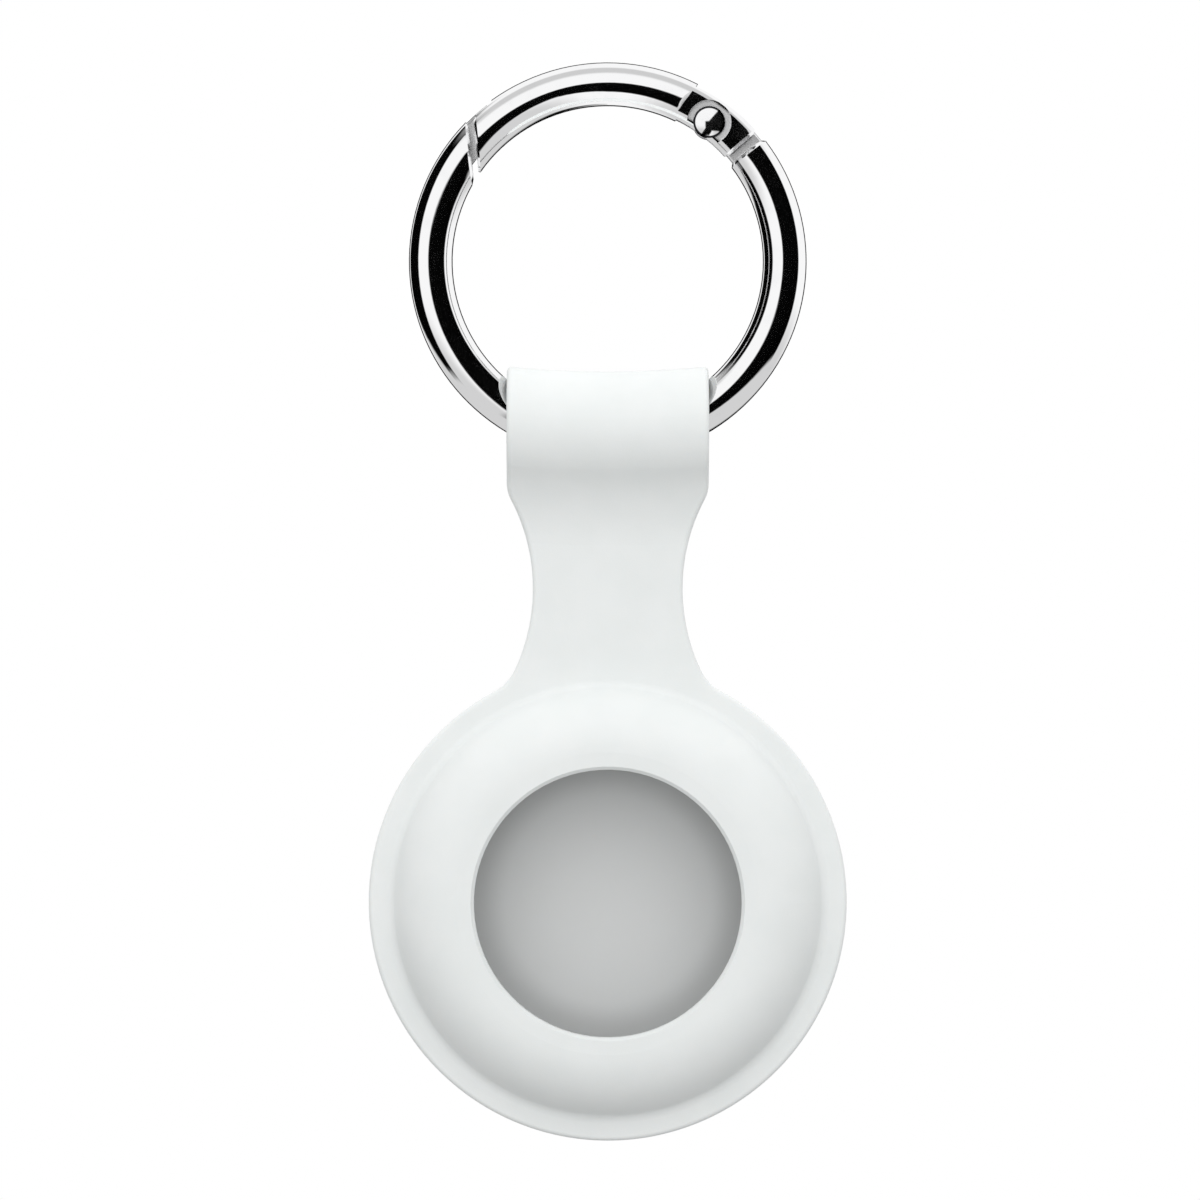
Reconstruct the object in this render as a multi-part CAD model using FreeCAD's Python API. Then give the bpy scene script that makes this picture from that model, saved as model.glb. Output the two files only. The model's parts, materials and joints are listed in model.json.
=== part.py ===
import FreeCAD, Part
import math
import os

# Tracker tag holder: a moulded silicone pocket and strap that hangs from a spring-gate ring.
# Millimetres and degrees. The origin is the ring's centre, X runs to the right in the front view,
# Y runs away from the viewer and Z runs up. Angles on the ring are counted from +X towards +Z.

# Ring wire
ring_outer_diameter = 35.0
wire_diameter = 3.85
end_bevel = 0.28

# Gate hinge: where the pivot sits, and the ears and tongue that meet there
pivot_angle = 53.8
pivot_inset = 0.5
ear_reach = 3.5
hinge_gap = 0.75
slot_reach = 2.5
tongue_reach = 1.4
tongue_thickness = 1.5
tongue_inset = 0.3
tongue_nose_radius = 0.4
tongue_side_clearance = 0.06
heel_step_reach = 2.8
heel_step_depth = 0.34
heel_end_depth = 0.1
cheek_height = 1.6

# Hinge rivet and the seats that its heads lie on
rivet_shank_diameter = 1.3
rivet_head_diameter = 2.8
rivet_head_height = 0.5
rivet_rim_height = 0.14
rivet_seat_diameter = 3.9
rivet_seat_height = 1.3
rivet_press_clearance = 0.01
rivet_running_clearance = 0.04

# Nose joint: a slanted cut that the gate slides along, and the key that lines the gate up
nose_angle = 139.5
nose_gap = 0.5
key_engagement = 1.3
key_thickness = 1.5
key_inset = 0.12
key_side_clearance = 0.1
key_end_clearance = 0.45
key_stop_clearance = 0.06
key_floor_thickness = 0.95

# Spring, pusher and their straight bore in the gate
bore_diameter = 1.2
bore_offset = 0.55
bore_depth = 4.8
pusher_tip_clearance = 0.05
pusher_bore_clearance = 0.05
pusher_length = 2.9
pusher_tip_bevel = 0.1
pusher_spigot_diameter = 0.45
pusher_spigot_length = 0.5
spring_wire_diameter = 0.2
spring_bore_clearance = 0.06
spring_seat_clearance = 0.02
spring_turns = 4

# Holder: the disc, its dome on both faces, and the pocket and mouth for the tag
disc_drop = 56.3
disc_diameter = 42.0
disc_thickness = 11.0
flange_width = 1.5
flange_thickness = 2.6
dome_shoulder = 6.3
dome_foot_fillet = 0.9
pocket_wall = 3.45
pocket_depth = 8.2
pocket_corner_radius = 3.0
lip_width = 4.35
mouth_bevel = 0.28

# Holder: the strap and the loop that the ring runs through
strap_width = 17.7
waist_width = 13.15
waist_rise = 6.5
waist_radius = 16.8
strap_corner_radius = 3.0
strap_foot_radius = 4.0
tunnel_clearance = 0.12
loop_side_wall = 1.5
loop_drop = 0.85
loop_blend_radius = 9.0
loop_saddle_dip = 0.45
holder_edge_radius = 0.4
tunnel_edge_radius = 0.25

# Cutting shapes: how far they run past what they cut, and the spare arc at a wire end that is cut
overrun = 3.0
spare_angle = 18

# How close counts as touching when edges are picked, and how many points of an edge are tried
touch_tolerance = 0.003
edge_samples = 5
spring_samples = 24

# Values worked out from the sizes above
full_turn = 360
quarter_turn = full_turn / 4
wire_radius = wire_diameter / 2
ring_outer_radius = ring_outer_diameter / 2
ring_radius = ring_outer_radius - wire_radius
ring_inner_radius = ring_radius - wire_radius
cut_reach = wire_diameter + 2 * overrun
pivot_radius = ring_radius - pivot_inset
ear_end_angle = pivot_angle - math.degrees(ear_reach / ring_radius)
shoulder_angle = ear_end_angle - math.degrees(hinge_gap / ring_radius)
slot_width = tongue_thickness + 2 * tongue_side_clearance
key_slot_width = key_thickness + 2 * key_side_clearance
key_floor_radius = ring_inner_radius + key_floor_thickness

disc_radius = disc_diameter / 2
dome_foot_radius = disc_radius - flange_width
dome_flat_radius = dome_foot_radius - dome_shoulder
pocket_radius = dome_foot_radius - pocket_wall
mouth_radius = pocket_radius - lip_width
waist_drop = disc_drop - disc_radius - waist_rise
strap_half_width = strap_width / 2

# The wire curves through the loop: it is lowest in the middle and slants at the loop's two mouths.
# The holder swings about a line half-way between, and the tunnel clears the wire all the way round.
mouth_drop = math.sqrt(ring_radius ** 2 - strap_half_width ** 2)
swing_drop = (ring_radius + mouth_drop) / 2
wire_rise = (ring_radius - mouth_drop) / 2
slant_radius = wire_radius * ring_radius / mouth_drop
tunnel_radius = wire_rise + slant_radius + tunnel_clearance
loop_radius = tunnel_radius + loop_side_wall
saddle_radius = (strap_half_width ** 2 + loop_saddle_dip ** 2) / (2 * loop_saddle_dip)

axis_x = FreeCAD.Vector(1, 0, 0)
axis_y = FreeCAD.Vector(0, 1, 0)
ring_turn = FreeCAD.Vector(0, -1, 0)
origin = FreeCAD.Vector(0, 0, 0)


def vector(x, y, z):
    return FreeCAD.Vector(x, y, z)


def ring_point(radius, angle):
    """A point in the ring's plane, from its polar place."""
    turn = math.radians(angle)
    return vector(radius * math.cos(turn), 0, radius * math.sin(turn))


# The hinge's own directions: along the wire towards the nose, and out from the ring's centre
pivot = ring_point(pivot_radius, pivot_angle)
hinge_out = ring_point(1, pivot_angle)
hinge_along = ring_point(1, pivot_angle + quarter_turn)

# The nose's own directions: away from the pivot, and outwards along the swing
nose = ring_point(ring_radius, nose_angle)
nose_away = (nose - pivot).normalize()
nose_out = nose_away.cross(axis_y)

disc_centre = vector(0, 0, -disc_drop)
swing_centre = vector(0, 0, -swing_drop)
loop_centre = vector(0, 0, -swing_drop - loop_drop)


def hinge_point(along, out):
    return pivot + hinge_along * along + hinge_out * out


def nose_point(away, out):
    return nose + nose_away * away + nose_out * out


def line(start, end):
    return Part.LineSegment(start, end).toShape()


def arc(start, middle, end):
    return Part.Arc(start, middle, end).toShape()


def arc_about(centre, start, end):
    """The shorter arc from start to end about a centre."""
    radius = (start - centre).Length
    middle = (start - centre) + (end - centre)
    return arc(start, centre + middle.normalize() * radius, end)


def chain(points):
    """Straight edges from each point to the next."""
    return [line(points[i], points[i + 1]) for i in range(len(points) - 1)]


def plate(wire, thickness):
    """A wire in the ring's plane made into a plate of even thickness about that plane."""
    face = Part.Face(wire)
    face.translate(axis_y * (-thickness / 2))
    return face.extrude(axis_y * thickness)


def block(place, low, high, thickness):
    """A straight-sided plate between two corners, given in a joint's own directions."""
    corners = [place(low[0], low[1]), place(high[0], low[1]), place(high[0], high[1]), place(low[0], high[1])]
    return plate(Part.Wire(chain(corners + corners[:1])), thickness)


def round_about_y(centre, radius, near, far):
    """A cylinder along Y between two distances from the ring's plane."""
    return Part.makeCylinder(radius, far - near, centre + axis_y * near, axis_y)


def round_through(centre, radius):
    """A cylinder along Y right through the wire."""
    return round_about_y(centre, radius, -cut_reach, cut_reach)


def wire_arc(radius, start_angle, end_angle):
    """A stretch of the ring's wire, or of a thinner core along it, in a front and a back half."""
    centre = ring_point(ring_radius, start_angle)
    outer = ring_point(ring_radius + radius, start_angle)
    inner = ring_point(ring_radius - radius, start_angle)
    depth = axis_y * radius
    section = Part.Face(Part.Wire([arc(outer, centre + depth, inner), arc(inner, centre - depth, outer)]))
    return section.revolve(origin, ring_turn, end_angle - start_angle)


def bevel_end(shape, centre, normal):
    """Bevel the rim of a wire's flat end, which lies in the plane given."""
    def on_end(point):
        offset = point - centre
        return abs(offset.dot(normal)) < touch_tolerance and offset.Length < wire_diameter

    rim = [edge for edge in shape.Edges if all(on_end(p) for p in edge.discretize(edge_samples))]
    return shape.makeChamfer(end_bevel, rim)


def bevel_radial_end(shape, angle):
    return bevel_end(shape, ring_point(ring_radius, angle), ring_point(1, angle + quarter_turn))


def bevel_nose_end(shape, away):
    return bevel_end(shape, nose_point(away, 0), nose_away)


def hinge_tongue():
    """The flat tongue that fills the gate's slot, with a square end and a rounded inner corner."""
    inner = ring_inner_radius + tongue_inset - pivot_radius
    root = -(ear_reach + hinge_gap + overrun)
    corner_along = tongue_reach - tongue_nose_radius
    corner_out = inner + tongue_nose_radius
    corner_start = hinge_point(corner_along, inner)
    corner_end = hinge_point(tongue_reach, corner_out)
    edges = chain([corner_end, hinge_point(tongue_reach, cut_reach), hinge_point(root, cut_reach),
                   hinge_point(root, -cut_reach), hinge_point(0, -cut_reach), hinge_point(0, inner),
                   corner_start])
    edges.append(arc_about(hinge_point(corner_along, corner_out), corner_start, corner_end))
    start_angle = shoulder_angle - math.degrees((end_bevel + tongue_inset) / ring_radius)
    core = wire_arc(wire_radius - tongue_inset, start_angle, pivot_angle + spare_angle)
    return core.common(plate(Part.Wire(edges), tongue_thickness))


def nose_key():
    """The flat key on the ring's nose, flush outside, that drops into the gate's end."""
    core = wire_arc(wire_radius - key_inset, nose_angle - spare_angle, nose_angle + spare_angle)
    tip = -(nose_gap / 2 + key_engagement)
    root = nose_gap / 2 + end_bevel
    key = core.common(block(nose_point, (tip, -cut_reach), (root, cut_reach), key_thickness))
    return key.cut(round_through(origin, key_floor_radius + key_stop_clearance))


def make_ring_body():
    body = wire_arc(wire_radius, nose_angle - spare_angle, shoulder_angle + full_turn)
    body = body.cut(block(nose_point, (-cut_reach, -cut_reach), (nose_gap / 2, cut_reach), 2 * cut_reach))
    body = bevel_nose_end(body, nose_gap / 2)
    body = bevel_radial_end(body, shoulder_angle)
    body = body.fuse([hinge_tongue(), nose_key()])
    hole_radius = rivet_shank_diameter / 2 + rivet_running_clearance
    return body.cut(round_through(pivot, hole_radius)).removeSplitter()


def heel_relief():
    """What the gate loses along its heel: its outside, moved in by one depth at each end of the heel."""
    step_angle = pivot_angle + math.degrees(math.asin(heel_step_reach / ring_outer_radius))
    step = ring_point(1, step_angle)
    heel = ring_point(1, ear_end_angle)
    determinant = step.x * heel.z - step.z * heel.x
    moved_centre = vector(heel_end_depth * step.z - heel_step_depth * heel.z, 0,
                          heel_step_depth * heel.x - heel_end_depth * step.x) * (1 / determinant)
    zone = block(hinge_point, (-ear_reach - overrun, 0), (heel_step_reach, cut_reach), 2 * cut_reach)
    return zone.cut(round_through(moved_centre, ring_outer_radius))


def heel_cheeks():
    """What each ear loses to its flat cheek, which slopes out again where the heel ends."""
    end = -ear_reach - overrun
    corners = [(end, cheek_height), (heel_step_reach, cheek_height),
               (heel_step_reach + overrun, cheek_height + overrun), (end, cheek_height + overrun)]
    cheeks = []
    for side in (-1, 1):
        points = [hinge_point(along, -cut_reach) + axis_y * (side * height) for along, height in corners]
        face = Part.Face(Part.Wire(chain(points + points[:1])))
        cheeks.append(face.extrude(hinge_out * (2 * cut_reach)))
    return cheeks


def key_slot():
    """The slot in the gate's end, with a round floor that the key comes down on."""
    end = -(nose_gap / 2 + key_engagement + key_end_clearance)
    slot = block(nose_point, (end, -cut_reach), (cut_reach, cut_reach), key_slot_width)
    return slot.cut(round_through(origin, key_floor_radius))


def spring_bore():
    start = hinge_point(slot_reach - overrun, -bore_offset)
    return Part.makeCylinder(bore_diameter / 2, overrun + bore_depth, start, hinge_along)


def make_gate():
    gate = wire_arc(wire_radius, ear_end_angle, nose_angle + spare_angle)
    gate = gate.cut(block(nose_point, (-nose_gap / 2, -cut_reach), (cut_reach, cut_reach), 2 * cut_reach))
    gate = bevel_nose_end(gate, -nose_gap / 2)
    gate = bevel_radial_end(gate.cut(heel_cheeks()), ear_end_angle)
    gate = gate.cut(heel_relief())

    # Each ear is sunk round the rivet, and keeps a boss as wide as the rivet's head to carry it
    for near, far in ((-cut_reach, -rivet_seat_height), (rivet_seat_height, cut_reach)):
        gate = gate.cut(round_about_y(pivot, rivet_seat_diameter / 2, near, far))
    gate = gate.fuse(round_about_y(pivot, rivet_head_diameter / 2, -rivet_seat_height, rivet_seat_height))

    hinge_slot = block(hinge_point, (-ear_reach - overrun, -cut_reach), (slot_reach, cut_reach), slot_width)
    rivet_hole = round_through(pivot, rivet_shank_diameter / 2 + rivet_press_clearance)
    return gate.cut([hinge_slot, key_slot(), rivet_hole, spring_bore()]).removeSplitter()


def make_hinge_rivet():
    """A shank with a domed head on each side, turned about the pivot's axis."""
    shank = rivet_shank_diameter / 2
    head = rivet_head_diameter / 2
    rim = rivet_seat_height + rivet_rim_height
    top = rivet_seat_height + rivet_head_height
    dome = rivet_head_height - rivet_rim_height
    dome_radius = (head ** 2 + dome ** 2) / (2 * dome)
    edges = [line(vector(shank, -rivet_seat_height, 0), vector(shank, rivet_seat_height, 0)),
             line(vector(0, -top, 0), vector(0, top, 0))]
    for side in (-1, 1):
        edges += chain([vector(shank, side * rivet_seat_height, 0), vector(head, side * rivet_seat_height, 0),
                        vector(head, side * rim, 0)])
        edges.append(arc_about(vector(0, side * (top - dome_radius), 0), vector(head, side * rim, 0),
                               vector(0, side * top, 0)))
    rivet = Part.Face(Part.Wire(Part.__sortEdges__(edges))).revolve(origin, axis_y, full_turn)
    rivet.translate(pivot)
    return rivet


def make_spring_pusher():
    """A flat-tipped plunger with a bevelled tip and a spigot that keeps the spring centred."""
    radius = bore_diameter / 2 - pusher_bore_clearance
    tip = hinge_point(tongue_reach + pusher_tip_clearance, -bore_offset)
    nib = Part.makeCone(radius - pusher_tip_bevel, radius, pusher_tip_bevel, tip, hinge_along)
    stem = Part.makeCylinder(radius, pusher_length - pusher_tip_bevel, tip + hinge_along * pusher_tip_bevel,
                             hinge_along)
    spigot = Part.makeCylinder(pusher_spigot_diameter / 2, pusher_spigot_length,
                               tip + hinge_along * pusher_length, hinge_along)
    return stem.fuse([nib, spigot]).removeSplitter()


def make_gate_spring():
    """A compression coil between the pusher's shoulder and the end of the bore."""
    wire = spring_wire_diameter / 2
    radius = bore_diameter / 2 - spring_bore_clearance - wire
    start = tongue_reach + pusher_tip_clearance + pusher_length + spring_seat_clearance + wire
    end = slot_reach + bore_depth - spring_seat_clearance - wire
    pitch = (end - start) / spring_turns

    def coil_point(turns):
        swing = 2 * math.pi * turns
        axis_point = hinge_point(start + pitch * turns, -bore_offset)
        return axis_point + hinge_out * (radius * math.cos(swing)) + axis_y * (radius * math.sin(swing))

    quarters = [i / 4 for i in range(4 * spring_turns + 1)]
    path = Part.Wire([arc(coil_point(a), coil_point((a + b) / 2), coil_point(b))
                      for a, b in zip(quarters, quarters[1:])])
    first = path.Edges[0]
    section = Part.Circle(first.valueAt(first.FirstParameter), first.tangentAt(first.FirstParameter), wire)
    coil = Part.BRepOffsetAPI.MakePipeShell(path)
    coil.add(Part.Wire(section.toShape()))
    coil.build()
    coil.makeSolid()

    # Points more than half a turn apart along the coil give the least gap between its turns
    points = [coil_point(i / spring_samples) for i in range(spring_samples * spring_turns + 1)]
    apart = spring_samples // 2
    gaps = [p.distanceToPoint(q) for i, p in enumerate(points) for q in points[i + apart:]]
    print("gate spring: least gap to itself", round(min(gaps) - spring_wire_diameter, 3), "mm")
    return coil.shape()


def crossing(first, first_radius, second, second_radius):
    """Where two circles in the ring's plane cross, on the left of the way from the first to the second."""
    span = second - first
    distance = span.Length
    reach = (first_radius ** 2 - second_radius ** 2 + distance ** 2) / (2 * distance)
    height = math.sqrt(first_radius ** 2 - reach ** 2)
    ahead = span * (1 / distance)
    return first + ahead * reach - ahead.cross(axis_y) * height


def holder_outline():
    """The front outline: straight loop sides, drawn-in waist and round disc, tangent all the way."""
    top = loop_centre.z + loop_radius + overrun
    waist_centre = vector(waist_width / 2 + waist_radius, 0, -waist_drop)
    corner_x = strap_half_width - strap_corner_radius
    rise = math.sqrt((waist_radius + strap_corner_radius) ** 2 - (waist_centre.x - corner_x) ** 2)
    corner_centre = vector(corner_x, 0, waist_centre.z + rise)
    foot_centre = crossing(waist_centre, waist_radius - strap_foot_radius,
                           disc_centre, disc_radius + strap_foot_radius)
    side_end = vector(strap_half_width, 0, corner_centre.z)
    corner_end = corner_centre + (waist_centre - corner_centre).normalize() * strap_corner_radius
    waist_end = waist_centre + (foot_centre - waist_centre).normalize() * waist_radius
    foot_end = disc_centre + (foot_centre - disc_centre).normalize() * disc_radius
    bottom = disc_centre - vector(0, 0, disc_radius)
    right = [line(vector(strap_half_width, 0, top), side_end), arc_about(corner_centre, side_end, corner_end),
             arc_about(waist_centre, corner_end, waist_end), arc_about(foot_centre, waist_end, foot_end)]
    left = [edge.mirror(origin, axis_x) for edge in right]
    lap = arc(foot_end, bottom, vector(-foot_end.x, 0, foot_end.z))
    cap = line(vector(-strap_half_width, 0, top), vector(strap_half_width, 0, top))
    return Part.Wire(Part.__sortEdges__(right + left + [lap, cap]))


def loop_and_strap():
    """The side profile, round loop, hollow blend and flat strap, carried across the holder on a wide arc.

    The arc bends upwards, so the loop's top is a little lower in the middle than at its mouths.
    """
    flat = flange_thickness / 2
    low = -(disc_drop + disc_radius + overrun)
    run = loop_radius + loop_blend_radius
    fall = math.sqrt(run ** 2 - (flat + loop_blend_radius) ** 2)
    edges = [line(vector(0, -flat, low), vector(0, flat, low))]
    turns = []
    for side in (-1, 1):
        blend_centre = vector(0, side * (flat + loop_blend_radius), loop_centre.z - fall)
        turn = loop_centre + (blend_centre - loop_centre) * (loop_radius / run)
        blend_end = vector(0, side * flat, blend_centre.z)
        edges += [arc_about(blend_centre, turn, blend_end), line(blend_end, vector(0, side * flat, low))]
        turns.append(turn)
    edges.append(arc(turns[0], loop_centre + vector(0, 0, loop_radius), turns[1]))
    profile = Part.Face(Part.Wire(Part.__sortEdges__(edges)))

    arc_centre = loop_centre + vector(0, 0, saddle_radius)
    half_angle = math.degrees(math.asin((disc_radius + overrun) / (saddle_radius - loop_radius)))
    profile.rotate(arc_centre, axis_y, -half_angle)
    return profile.revolve(arc_centre, axis_y, 2 * half_angle)


def rim_edges(shape, outline):
    """The edges that run along the front outline, on both faces."""
    def on_outline(point):
        return Part.Vertex(point.x, 0, point.z).distToShape(outline)[0] < touch_tolerance

    def along_y(edge):
        return edge.BoundBox.XLength < touch_tolerance and edge.BoundBox.ZLength < touch_tolerance

    return [edge for edge in shape.Edges
            if not along_y(edge) and all(on_outline(p) for p in edge.discretize(edge_samples))]


def tunnel_mouth_edges(shape):
    """The round edges at both ends of the tunnel."""
    def at_mouth(point):
        across = math.hypot(point.y, point.z - swing_centre.z)
        at_end = abs(abs(point.x) - strap_half_width) < touch_tolerance
        return at_end and abs(across - tunnel_radius) < touch_tolerance

    return [edge for edge in shape.Edges if all(at_mouth(p) for p in edge.discretize(edge_samples))]


def turned_disc(edges):
    """A profile of radius against depth, turned about the disc's own axis."""
    profile = Part.Face(Part.Wire(Part.__sortEdges__(edges)))
    profile.translate(disc_centre)
    return profile.revolve(disc_centre, axis_y, full_turn)


def dome_both_sides():
    """The domes in front and behind, with a hollow foot that runs out on the flange."""
    half = disc_thickness / 2
    flat = flange_thickness / 2
    rise = half - flat - dome_foot_fillet
    dome_radius = (dome_shoulder ** 2 + rise ** 2 - dome_foot_fillet ** 2) / (2 * (rise + dome_foot_fillet))
    edges = [line(vector(dome_foot_radius, -flat, 0), vector(dome_foot_radius, flat, 0)),
             line(vector(0, -half, 0), vector(0, half, 0))]
    for side in (-1, 1):
        dome_centre = vector(dome_flat_radius, side * (half - dome_radius), 0)
        foot_centre = vector(dome_foot_radius, side * (flat + dome_foot_fillet), 0)
        flat_end = vector(dome_flat_radius, side * half, 0)
        turn = dome_centre + (foot_centre - dome_centre) * (dome_radius / (dome_radius + dome_foot_fillet))
        edges += [line(vector(0, side * half, 0), flat_end), arc_about(dome_centre, flat_end, turn),
                  arc_about(foot_centre, turn, vector(dome_foot_radius, side * flat, 0))]
    return turned_disc(edges)


def pocket_and_mouth():
    """The round pocket for the tag and the mouth in front that it is pressed through."""
    face = -disc_thickness / 2
    deep = pocket_depth / 2
    corner_centre_radius = pocket_radius - pocket_corner_radius
    corner_depth = deep - pocket_corner_radius
    flare_radius = mouth_radius + mouth_bevel + overrun
    edges = chain([vector(0, deep, 0), vector(0, face - overrun, 0), vector(flare_radius, face - overrun, 0),
                   vector(mouth_radius, face + mouth_bevel, 0), vector(mouth_radius, -deep, 0),
                   vector(corner_centre_radius, -deep, 0)])
    edges += chain([vector(pocket_radius, -corner_depth, 0), vector(pocket_radius, corner_depth, 0)])
    edges += chain([vector(corner_centre_radius, deep, 0), vector(0, deep, 0)])
    for side in (-1, 1):
        corner_centre = vector(corner_centre_radius, side * corner_depth, 0)
        edges.append(arc_about(corner_centre, vector(corner_centre_radius, side * deep, 0),
                               vector(pocket_radius, side * corner_depth, 0)))
    return turned_disc(edges)


def make_holder():
    outline = holder_outline()
    strap = loop_and_strap().common(plate(outline, disc_thickness + 2 * overrun)).removeSplitter()
    strap = strap.makeFillet(holder_edge_radius, rim_edges(strap, outline))
    tunnel_start = swing_centre - axis_x * (strap_half_width + overrun)
    strap = strap.cut(Part.makeCylinder(tunnel_radius, strap_width + 2 * overrun, tunnel_start, axis_x))
    strap = strap.makeFillet(tunnel_edge_radius, tunnel_mouth_edges(strap))
    return strap.fuse(dome_both_sides()).cut(pocket_and_mouth()).removeSplitter()


pieces = {
    "holder": make_holder,
    "ring_body": make_ring_body,
    "gate": make_gate,
    "hinge_rivet": make_hinge_rivet,
    "spring_pusher": make_spring_pusher,
    "gate_spring": make_gate_spring,
}

os.makedirs("parts", exist_ok=True)
for node, make in pieces.items():
    shape = make()
    solids = shape.Solids
    print(node, "solids", len(solids), "valid", shape.isValid(), "volume", round(shape.Volume, 3))
    solids[0].exportStep("parts/" + node + ".step")
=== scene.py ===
import json
import math

import bmesh
import bpy
from mathutils import Matrix, Vector
from mathutils.kdtree import KDTree


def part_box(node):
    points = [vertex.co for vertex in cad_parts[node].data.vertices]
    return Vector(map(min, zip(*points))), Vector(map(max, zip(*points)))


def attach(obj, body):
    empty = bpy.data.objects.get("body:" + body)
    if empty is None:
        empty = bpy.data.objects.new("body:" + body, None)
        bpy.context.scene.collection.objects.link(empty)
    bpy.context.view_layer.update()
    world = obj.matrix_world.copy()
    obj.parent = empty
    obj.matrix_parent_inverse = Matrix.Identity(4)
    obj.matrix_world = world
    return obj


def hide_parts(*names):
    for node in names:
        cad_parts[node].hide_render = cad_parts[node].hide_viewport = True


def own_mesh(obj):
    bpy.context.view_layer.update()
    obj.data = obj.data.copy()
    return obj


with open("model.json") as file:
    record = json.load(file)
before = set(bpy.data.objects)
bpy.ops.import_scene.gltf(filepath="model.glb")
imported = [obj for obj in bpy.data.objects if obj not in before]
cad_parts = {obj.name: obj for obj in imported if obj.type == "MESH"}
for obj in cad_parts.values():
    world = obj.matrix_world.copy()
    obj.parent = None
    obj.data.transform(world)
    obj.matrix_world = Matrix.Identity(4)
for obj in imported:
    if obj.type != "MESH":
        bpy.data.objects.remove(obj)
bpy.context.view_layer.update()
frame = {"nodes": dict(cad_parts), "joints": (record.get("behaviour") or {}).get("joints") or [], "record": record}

# Metres throughout. The origin is the ring's centre, X runs right, Y away from the viewer, Z up.
mm = 0.001

# Sizes and places read from the frame
joints = {joint["name"]: joint for joint in frame["joints"]}
ring_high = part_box("ring_body")[1]
wire_radius = ring_high.y
ring_radius = ring_high.x - wire_radius
hinge_pivot = Vector(joints["gate_hinge"]["pos_m"])
bore_direction = Vector(joints["pusher_slide"]["axis"])
holder_low, holder_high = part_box("holder")
disc_radius = holder_high.x
disc_centre = Vector((0, 0, holder_low.z + disc_radius))
mounts = {mount["name"]: mount for mount in frame["record"]["mounts"]}
mouth_radius = mounts["tag_mouth"]["dims"]["r_mm"] * mm
back_depth = holder_high.y
rivet_low, rivet_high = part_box("hinge_rivet")
head_radius = (rivet_high.x - rivet_low.x) / 2

# The photograph's frame: the width it covers at the ring's plane, its middle, and the lens
photo_width = 105.6 * mm
photo_middle = Vector((-0.68 * mm, 0, -29.8 * mm))
camera_distance = 0.6
sensor_width = 36.0

# Stage
floor_drop = 28 * mm
floor_radius = 0.24
floor_fade = 0.08
floor_segments = 128

# How far from the ring's plane the flat cheeks of the gate's ears lie, and the rivet's seats in them
cheek_depth = 1.6 * mm
seat_depth = 1.3 * mm

# The pocket: its wall's radius, the back of its lip, and a little behind the face of its closed back
pocket_radius = 16.05 * mm
lip_depth = -2.9 * mm
pocket_back = back_depth - 1.3 * mm

# The round along the edge of the flange and strap: its radius, the depth of the flats that it meets,
# and the height where the strap ends and the loop begins
rim_round = 0.4 * mm
flat_depth = 1.3 * mm
strap_top = -25 * mm

# The gate's spring
coil_wire_radius = 0.1 * mm
coil_turns = 4.0

# Geometry that is finer than the solids
merge_distance = 0.0005 * mm
turned_edge_angle = math.radians(30)
rim_step_angle = math.radians(12)
rim_split_rounds = 5
rim_wall_tilt = 0.02
rim_wall_points = 4
rim_tolerance = 0.01
coil_steps_per_turn = 40
coil_wire_sides = 20


class Value:
    """A node's output in a tree. Arithmetic on it adds Math nodes to the same tree."""

    def __init__(self, nodes, socket):
        self.nodes = nodes
        self.socket = socket

    def math(self, operation, *others):
        inputs = dict(enumerate((self,) + others))
        return self.nodes.node("ShaderNodeMath", {"operation": operation}, inputs)

    def __add__(self, other):
        return self.math("ADD", other)

    def __radd__(self, other):
        return self.math("ADD", other)

    def __sub__(self, other):
        return self.math("SUBTRACT", other)

    def __rsub__(self, other):
        return self.nodes.node("ShaderNodeMath", {"operation": "SUBTRACT"}, {0: other, 1: self})

    def __mul__(self, other):
        return self.math("MULTIPLY", other)

    def __rmul__(self, other):
        return self.math("MULTIPLY", other)

    def __truediv__(self, other):
        return self.math("DIVIDE", other)

    def __abs__(self):
        return self.math("ABSOLUTE")

    def ramp(self, low, high, low_value=0.0, high_value=1.0):
        """A smooth step between two values of this one."""
        return self.nodes.node("ShaderNodeMapRange", {"interpolation_type": "SMOOTHSTEP"},
                               {"Value": self, "From Min": low, "From Max": high,
                                "To Min": low_value, "To Max": high_value})

    def band(self, low, high, soft):
        """One between two values of this one, and nought outside, with soft edges."""
        return self.ramp(low - soft, low + soft) * (1 - self.ramp(high - soft, high + soft))

    def split(self):
        return [self.nodes.node("ShaderNodeSeparateXYZ", inputs={0: self}, output=axis)
                for axis in "XYZ"]


class Nodes:
    """A node tree that is being written. Every node comes from its one method."""

    def __init__(self, tree):
        self.tree = tree

    def node(self, kind, settings=None, inputs=None, output=0):
        made = self.tree.nodes.new(kind)
        for name, setting in (settings or {}).items():
            setattr(made, name, setting)
        for name, given in (inputs or {}).items():
            if isinstance(given, Value):
                self.tree.links.new(given.socket, made.inputs[name])
            else:
                made.inputs[name].default_value = given
        if not made.outputs:
            return made
        return Value(self, made.outputs[output])

    def noise(self, place, size, detail=2.0, roughness=0.5):
        """Noise between 0 and 1 whose features are about as large as the size given."""
        return self.node("ShaderNodeTexNoise", {"noise_dimensions": "3D"},
                         {"Vector": place, "Scale": 1 / size, "Detail": detail, "Roughness": roughness})

    def mix_colour(self, share, first, second):
        """The first colour where the share is nought, the second where it is one."""
        return self.node("ShaderNodeMix", {"data_type": "RGBA"}, {0: share, 6: first, 7: second},
                         output=2)


def new_material(name):
    """An empty material, its nodes and the place on the piece that its patterns read."""
    material = bpy.data.materials.new(name)
    material.use_nodes = True
    material.node_tree.nodes.clear()
    nodes = Nodes(material.node_tree)
    place = nodes.node("ShaderNodeTexCoord", output="Object")
    return material, nodes, place


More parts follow.
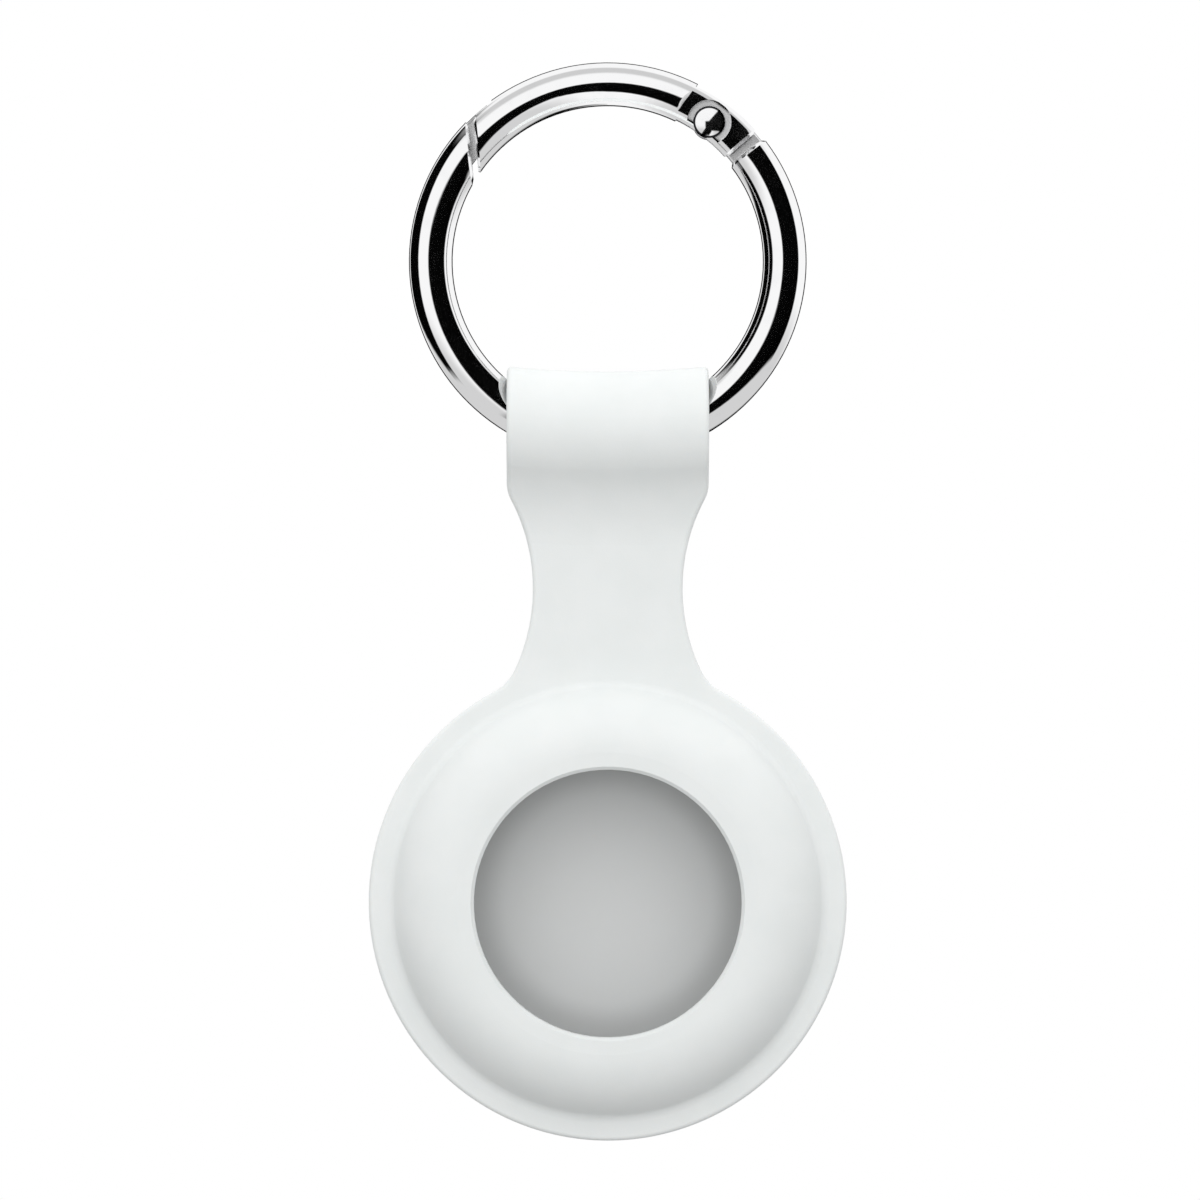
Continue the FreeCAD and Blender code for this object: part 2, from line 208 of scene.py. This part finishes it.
def finish_surface(nodes, sockets):
    """The surface shader, with the values and links of its sockets."""
    surface = nodes.node("ShaderNodeBsdfPrincipled", inputs=sockets)
    nodes.node("ShaderNodeOutputMaterial", inputs={"Surface": surface})


def bump(nodes, height, depth, normal=None):
    """A bump of a height pattern between 0 and 1, at its real depth."""
    inputs = {"Height": height, "Strength": 1.0, "Distance": depth}
    if normal is not None:
        inputs["Normal"] = normal
    return nodes.node("ShaderNodeBump", inputs=inputs)


def polar(nodes, place):
    """Distance from the ring's axis, depth, and length along the wire."""
    x, depth, z = place.split()
    radius = (x * x + z * z).math("SQRT")
    along = z.math("ARCTAN2", x) * ring_radius
    return radius, depth, along


def white_silicone():
    """Matte white silicone: fine moulded grain, faint mottling, a parting line round the edge, and painted shade
    inside the pocket, darker towards its rim.
    """
    material, nodes, place = new_material("white_silicone")
    depth = place.split()[1]
    grain = nodes.noise(place, 0.16 * mm, detail=3.0, roughness=0.6)
    mottle = nodes.noise(place, 3.5 * mm, detail=3.0)
    bloom = nodes.noise(place, 14 * mm, detail=1.0)
    parting = 1 - abs(depth).ramp(0.03 * mm, 0.09 * mm)
    from_disc = nodes.node("ShaderNodeMapping", inputs={"Vector": place, "Location": -disc_centre})
    across, _, up = from_disc.split()
    reach = (across * across + up * up).math("SQRT")
    # The pocket's inside, where shade is painted into the colour.
    within_wall = 1 - reach.ramp(pocket_radius, pocket_radius + 0.6 * mm)
    behind_lip = depth.ramp(lip_depth, lip_depth + 0.5 * mm)
    before_back = 1 - depth.ramp(pocket_back, pocket_back + 0.3 * mm)
    pocket_shade_mask = within_wall * behind_lip * before_back

    shade = mottle.ramp(0.3, 0.7, 0.0, 0.6) + bloom.ramp(0.3, 0.7, 0.0, 0.4)
    outer_tone = nodes.mix_colour(shade, (0.765, 0.790, 0.784, 1), (0.795, 0.815, 0.810, 1))
    # Painted shade: the pocket's inside is painted greyer than the outside, and darker still towards the mouth's
    # rim, as shade in the recess.
    pocket_painted_shade = nodes.mix_colour(reach.ramp(0.76 * mouth_radius, mouth_radius),
                                  (0.690, 0.700, 0.698, 1), (0.560, 0.568, 0.566, 1))
    colour = nodes.mix_colour(pocket_shade_mask, outer_tone, pocket_painted_shade)
    roughness = 0.5 + 0.1 * grain + 0.06 * mottle - 0.08 * parting
    height = grain + 2.5 * parting
    finish_surface(nodes, {
        "Base Color": colour, "Roughness": roughness, "IOR": 1.41,
        "Subsurface Weight": 0.12, "Subsurface Radius": (1.0, 0.9, 0.8), "Subsurface Scale": 0.7 * mm,
        "Normal": bump(nodes, height, 0.006 * mm),
    })
    return material


def mirror_plating():
    """Bright plating: polishing hairlines along the wire, handling marks, and duller cut faces."""
    material, nodes, place = new_material("mirror_plating")
    radius, depth, along = polar(nodes, place)
    from_core = ((radius - ring_radius) * (radius - ring_radius) + depth * depth).math("SQRT")
    cheek, seat = [abs(abs(depth) - level).ramp(0.01 * mm, 0.03 * mm, 1.0, 0.0)
                   for level in (cheek_depth, seat_depth)]
    cut_face = (1 - from_core.ramp(wire_radius - 0.3 * mm, wire_radius - 0.05 * mm)) * (1 - cheek)
    stretched = nodes.node("ShaderNodeCombineXYZ", inputs={"X": radius, "Y": depth, "Z": along * 0.02})
    hairline = nodes.noise(stretched, 0.05 * mm, detail=2.0)
    smudge = nodes.noise(place, 2.2 * mm, detail=4.0, roughness=0.6).ramp(0.5, 0.75)
    mill = nodes.noise(place, 0.08 * mm, detail=3.0)
    colour = nodes.mix_colour(smudge, (0.93, 0.93, 0.935, 1), (0.89, 0.89, 0.9, 1))
    roughness = 0.025 + 0.015 * hairline + 0.03 * smudge + cut_face * (0.26 + 0.1 * mill + 0.25 * seat)
    height = hairline + 8 * cut_face * mill
    finish_surface(nodes, {
        "Base Color": colour, "Metallic": 1.0, "Roughness": roughness,
        "Normal": bump(nodes, height, 0.00005 * mm),
    })
    return material


def turned_steel():
    """Polished rivet steel with a painted shadow line round the head's rim, and fine rings left by turning, about
    the hinge's pivot.
    """
    material, nodes, place = new_material("turned_steel")
    centred = nodes.node("ShaderNodeMapping", inputs={"Vector": place, "Location": -hinge_pivot})
    x, depth, z = centred.split()
    radius = (x * x + z * z).math("SQRT")
    turning = nodes.node("ShaderNodeCombineXYZ", inputs={"X": radius, "Y": depth * 0.2})
    rings = nodes.noise(turning, 0.04 * mm)
    smudge = nodes.noise(place, 0.6 * mm, detail=3.0).ramp(0.5, 0.75)
    bright = nodes.mix_colour(smudge, (0.92, 0.92, 0.925, 1), (0.86, 0.86, 0.87, 1))
    # Painted shadow: the head's outer edge is painted near black, as a shadow line round the rivet.
    painted_rim_shadow = radius.ramp(head_radius - 0.21 * mm, head_radius - 0.16 * mm)
    colour = nodes.mix_colour(painted_rim_shadow, bright, (0.02, 0.02, 0.022, 1))
    finish_surface(nodes, {
        "Base Color": colour, "Metallic": 1.0, "Roughness": 0.05 + 0.04 * rings + 0.03 * smudge,
        "Normal": bump(nodes, rings, 0.0001 * mm),
    })
    return material


def drawn_steel():
    """Drawn spring steel: grey, with dark die lines and an oily film."""
    material, nodes, place = new_material("drawn_steel")
    lines = nodes.noise(place, 0.03 * mm, detail=3.0)
    film = nodes.noise(place, 0.5 * mm, detail=2.0)
    colour = nodes.mix_colour(film, (0.50, 0.50, 0.51, 1), (0.62, 0.62, 0.63, 1))
    finish_surface(nodes, {
        "Base Color": colour, "Metallic": 1.0, "Roughness": 0.2 + 0.15 * lines + 0.08 * film,
        "Normal": bump(nodes, lines, 0.0005 * mm),
    })
    return material


def pale_floor():
    """Pale studio floor that fades out towards its rim."""
    material, nodes, place = new_material("pale_floor")
    x, y, _ = place.split()
    reach = (x * x + y * y).math("SQRT")
    speck = nodes.noise(place, 2 * mm, detail=3.0)
    colour = nodes.mix_colour(speck, (0.66, 0.66, 0.66, 1), (0.69, 0.69, 0.69, 1))
    cover = 1 - reach.ramp(floor_radius - floor_fade, floor_radius)
    finish_surface(nodes, {"Base Color": colour, "Roughness": 0.7, "Alpha": cover})
    return material


def add_piece(name, mesh, node, body, material):
    """A finished mesh put in the scene in place of a CAD node."""
    mesh.materials.clear()
    mesh.materials.append(material)
    piece = bpy.data.objects.new(name, mesh)
    bpy.context.scene.collection.objects.link(piece)
    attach(piece, body)
    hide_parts(node)
    return piece


def welded_copy(node, name, sharp_angle=None, finer=None):
    """A joined copy of a node's loose triangles, smooth up to an angle or with its own normals."""
    source = frame["nodes"][node].data
    mesh = source.copy()
    mesh.name = name
    work = bmesh.new()
    work.from_mesh(mesh)
    kept = work.loops.layers.float_vector.new("kept_normal")
    corners = [corner for face in work.faces for corner in face.loops]
    for corner, normal in zip(corners, source.corner_normals):
        corner[kept] = normal.vector
    bmesh.ops.remove_doubles(work, verts=work.verts, dist=merge_distance)
    if finer is not None:
        finer(work, kept)
    normals = [corner[kept].copy() for face in work.faces for corner in face.loops]
    work.loops.layers.float_vector.remove(kept)
    work.to_mesh(mesh)
    work.free()
    for face in mesh.polygons:
        face.use_smooth = True
    if sharp_angle is not None:
        mesh.attributes.remove(mesh.attributes["custom_normal"])
        mesh.set_sharp_from_angle(angle=sharp_angle)
    else:
        mesh.normals_split_custom_set(normals)
    return mesh


def on_rim(point, above_flat=0.0):
    """Whether a point lies on the edge of the flange or strap, between its middle and its flats."""
    past_pocket = math.hypot(point.x, point.z - disc_centre.z) > pocket_radius + rim_round
    return point.z < strap_top and past_pocket and abs(point.y) < flat_depth + above_flat


def rim_outwards(work):
    """A look-up of the way the edge faces, from the straight wall along its middle."""
    found = []
    for face in work.faces:
        if abs(face.normal.y) < rim_wall_tilt and all(on_rim(v.co) for v in face.verts):
            found += [(Vector((v.co.x, 0, v.co.z)), face.normal.copy()) for v in face.verts]
    tree = KDTree(len(found))
    for number, (place, _) in enumerate(found):
        tree.insert(place, number)
    tree.balance()

    def outward(point):
        total = Vector()
        for _, number, gap in tree.find_n((point.x, 0, point.z), rim_wall_points):
            total += found[number][1] / (gap + merge_distance)
        return total.normalized()
    return outward


def round_rim(work, kept):
    """Split the triangles that cut across the round of the rim, and set the round's own normals."""
    outward = rim_outwards(work)
    core_depth = flat_depth - rim_round
    rim = {}
    for vertex in work.verts:
        rise = (abs(vertex.co.y) - core_depth) / rim_round
        if on_rim(vertex.co, merge_distance) and rise > -rim_tolerance:
            rise = min(max(rise, 0), 1)
            normal = outward(vertex.co) * math.sqrt(1 - rise ** 2)
            normal.y = math.copysign(rise, vertex.co.y)
            rim[vertex] = (vertex.co - normal * rim_round, normal)
    for _ in range(rim_split_rounds):
        across = [edge for edge in work.edges if all(v in rim for v in edge.verts)
                  and rim[edge.verts[0]][1].angle(rim[edge.verts[1]][1]) > rim_step_angle]
        for edge in across:
            first, second = edge.verts
            core = (rim[first][0] + rim[second][0]) / 2
            normal = (rim[first][1] + rim[second][1]).normalized()
            added = bmesh.utils.edge_split(edge, first, 0.5)[1]
            added.co = core + normal * rim_round
            rim[added] = (core, normal)
        bmesh.ops.triangulate(work, faces=[face for face in work.faces if len(face.verts) > 3])
    for vertex, (_, normal) in rim.items():
        for corner in vertex.link_loops:
            corner[kept] = normal


def coil_tree(material):
    """Geometry nodes that wind a wire into a coil spring, from named sizes."""
    tree = bpy.data.node_groups.new("coil_spring", "GeometryNodeTree")
    tree.interface.new_socket("Coil", in_out="OUTPUT", socket_type="NodeSocketGeometry")
    for name, kind in (("Coil Radius", "NodeSocketFloat"), ("Wire Radius", "NodeSocketFloat"),
                       ("Length", "NodeSocketFloat"), ("Turns", "NodeSocketFloat"),
                       ("Steps per Turn", "NodeSocketInt"), ("Wire Sides", "NodeSocketInt")):
        tree.interface.new_socket(name, in_out="INPUT", socket_type=kind)
    nodes = Nodes(tree)
    source = tree.nodes.new("NodeGroupInput")
    size = {socket.name: Value(nodes, socket) for socket in source.outputs if socket.name}
    path = nodes.node("GeometryNodeCurveSpiral", inputs={
        "Resolution": size["Steps per Turn"], "Rotations": size["Turns"], "Height": size["Length"],
        "Start Radius": size["Coil Radius"], "End Radius": size["Coil Radius"]})
    section = nodes.node("GeometryNodeCurvePrimitiveCircle", inputs={
        "Resolution": size["Wire Sides"], "Radius": size["Wire Radius"]})
    tube = nodes.node("GeometryNodeCurveToMesh", inputs={
        "Curve": path, "Profile Curve": section, "Fill Caps": True})
    smooth = nodes.node("GeometryNodeSetShadeSmooth", inputs={"Geometry": tube})
    real = nodes.node("GeometryNodeRealizeInstances", inputs={"Geometry": smooth})
    dressed = nodes.node("GeometryNodeSetMaterial", inputs={"Geometry": real, "Material": material})
    nodes.node("NodeGroupOutput", inputs={"Coil": dressed})
    return tree


def mesh_from_tree(name, tree, sizes):
    """The plain mesh that a geometry tree makes with the sizes given by their input names."""
    carrier = bpy.data.objects.new(name, bpy.data.meshes.new(name))
    bpy.context.scene.collection.objects.link(carrier)
    modifier = carrier.modifiers.new(name, "NODES")
    modifier.node_group = tree
    for socket in tree.interface.items_tree:
        if socket.in_out == "INPUT":
            modifier[socket.identifier] = sizes[socket.name]
    graph = bpy.context.evaluated_depsgraph_get()
    mesh = bpy.data.meshes.new_from_object(carrier.evaluated_get(graph))
    bpy.data.objects.remove(carrier)
    mesh.name = name
    return mesh


def add_coil(material):
    """The gate's spring, wound in the space of its node in the bore and shortened by its pusher."""
    points = [v.co - hinge_pivot for v in frame["nodes"]["gate_spring"].data.vertices]
    out_direction = Vector((0, 1, 0)).cross(bore_direction)
    lengths = [p.dot(bore_direction) for p in points]
    outs = [p.dot(out_direction) for p in points]
    coil_diameter = max(p.y for p in points) - min(p.y for p in points)
    coil_length = max(lengths) - min(lengths)
    sizes = {"Coil Radius": coil_diameter / 2 - coil_wire_radius, "Wire Radius": coil_wire_radius,
             "Length": coil_length - 2 * coil_wire_radius, "Turns": coil_turns,
             "Steps per Turn": coil_steps_per_turn, "Wire Sides": coil_wire_sides}
    mesh = mesh_from_tree("gate_spring_coil", coil_tree(material), sizes)
    start = hinge_pivot + bore_direction * (min(lengths) + coil_wire_radius)
    start += out_direction * (max(outs) + min(outs)) / 2
    turn = Matrix((out_direction, Vector((0, 1, 0)), bore_direction)).transposed()
    mesh.transform(Matrix.Translation(start) @ turn.to_4x4())
    coil = add_piece("gate_coil", mesh, "gate_spring", "gate", material)
    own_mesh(coil)


def studio_world():
    """White to the camera, a soft gradient for light, and dark cards that the metal mirrors."""
    world = bpy.data.worlds.new("studio")
    bpy.context.scene.world = world
    world.use_nodes = True
    world.node_tree.nodes.clear()
    nodes = Nodes(world.node_tree)
    x, y, z = nodes.node("ShaderNodeTexCoord", output="Generated").split()
    azimuth = x.math("ARCTAN2", -1 * y) * (180 / math.pi)
    height = z.math("ARCSINE") * (180 / math.pi)

    # Light that falls on the piece: soft boxes before and behind it, brighter overhead and dimmer below
    light = 0.48 + 0.85 * y * y + 0.95 * z.math("MAXIMUM", 0) - 0.2 * (-1 * z).math("MAXIMUM", 0)

    # What the metal mirrors: a pale room, dimmer overhead and low at the sides, with dark cards in it.
    # The front card rises to the right, the low card hangs under it, and the left card has its lower
    # back corner cut away. The patch straight behind draws a fine line round the metal's outline.
    lean = x / (-1 * z).math("MAXIMUM", 0.02)
    front_card = azimuth.band(-13, 77, 3) * (1 - (z - 1.15 * x.math("MAXIMUM", 0)).ramp(0.07, 0.15))
    front_card = front_card * height.ramp(-30, -25)
    low_card = (height - 45 * lean.math("MAXIMUM", 0)).ramp(-47, -41) * (1 - height.ramp(-9, -3))
    low_card = low_card * lean.ramp(-0.78, -0.62) * (1 - y.ramp(-0.2, 0))
    left_card = azimuth.band(-136, -67, 3) * (1 - height.ramp(38, 54))
    left_card = left_card * (height + 0.6 * (azimuth + 95).math("MINIMUM", 0)).ramp(-38, -30)
    back_patch = y.ramp(0.78, 0.86)
    low_patch = height.band(-52, -16, 5) * azimuth.band(150, 176, 10)
    dark = front_card.math("MAXIMUM", low_card).math("MAXIMUM", left_card)
    dark = dark.math("MAXIMUM", back_patch).math("MAXIMUM", low_patch)
    overhead = z.ramp(0.5, 0.8) * y.band(-0.5, 0.1, 0.1)
    below = (-1 * z).ramp(0.1, 0.45) * abs(x).ramp(0.1, 0.4)
    mirrored = (1 - 0.35 * overhead - 0.32 * below) * (1 - 0.999 * dark)

    path = {name: nodes.node("ShaderNodeLightPath", output=name)
            for name in ("Is Camera Ray", "Is Glossy Ray", "Is Transmission Ray")}
    seen = path["Is Camera Ray"].math("MAXIMUM", path["Is Transmission Ray"])
    glossy = path["Is Glossy Ray"] * (1 - seen)
    strength = seen + glossy * mirrored + (1 - seen) * (1 - glossy) * light
    background = nodes.node("ShaderNodeBackground",
                            inputs={"Color": (1, 1, 1, 1), "Strength": strength})
    nodes.node("ShaderNodeOutputWorld", inputs={"Surface": background})


def studio_floor():
    """A pale round floor under the piece, seen from the other sides and left out of the mirrors."""
    mesh = bpy.data.meshes.new("floor")
    work = bmesh.new()
    bmesh.ops.create_circle(work, cap_ends=True, segments=floor_segments, radius=floor_radius)
    bmesh.ops.translate(work, verts=work.verts, vec=(0, 0, holder_low.z - floor_drop))
    work.to_mesh(mesh)
    work.free()
    mesh.materials.append(pale_floor())
    floor = bpy.data.objects.new("floor", mesh)
    bpy.context.scene.collection.objects.link(floor)
    floor.visible_diffuse = False
    floor.visible_glossy = False


def photo_camera():
    """A long lens square to the front, framed as the photograph is."""
    data = bpy.data.cameras.new("camera")
    data.sensor_width = sensor_width
    data.lens = sensor_width * camera_distance / photo_width
    camera = bpy.data.objects.new("camera", data)
    camera.location = photo_middle + Vector((0, -camera_distance, 0))
    camera.rotation_euler = (math.pi / 2, 0, 0)
    bpy.context.scene.collection.objects.link(camera)
    bpy.context.scene.camera = camera


plating = mirror_plating()
steel = drawn_steel()
add_piece("silicone_holder", welded_copy("holder", "silicone_holder", finer=round_rim),
          "holder", "holder", white_silicone())
add_piece("ring_wire", welded_copy("ring_body", "ring_wire"),
          "ring_body", "ring", plating)
add_piece("ring_gate", welded_copy("gate", "ring_gate"),
          "gate", "gate", plating)
add_piece("gate_rivet", welded_copy("hinge_rivet", "gate_rivet", turned_edge_angle),
          "hinge_rivet", "gate", turned_steel())
add_piece("gate_pusher", welded_copy("spring_pusher", "gate_pusher", turned_edge_angle),
          "spring_pusher", "pusher", steel)
add_coil(steel)

studio_world()
studio_floor()
photo_camera()
bpy.context.scene.view_settings.view_transform = "Standard"
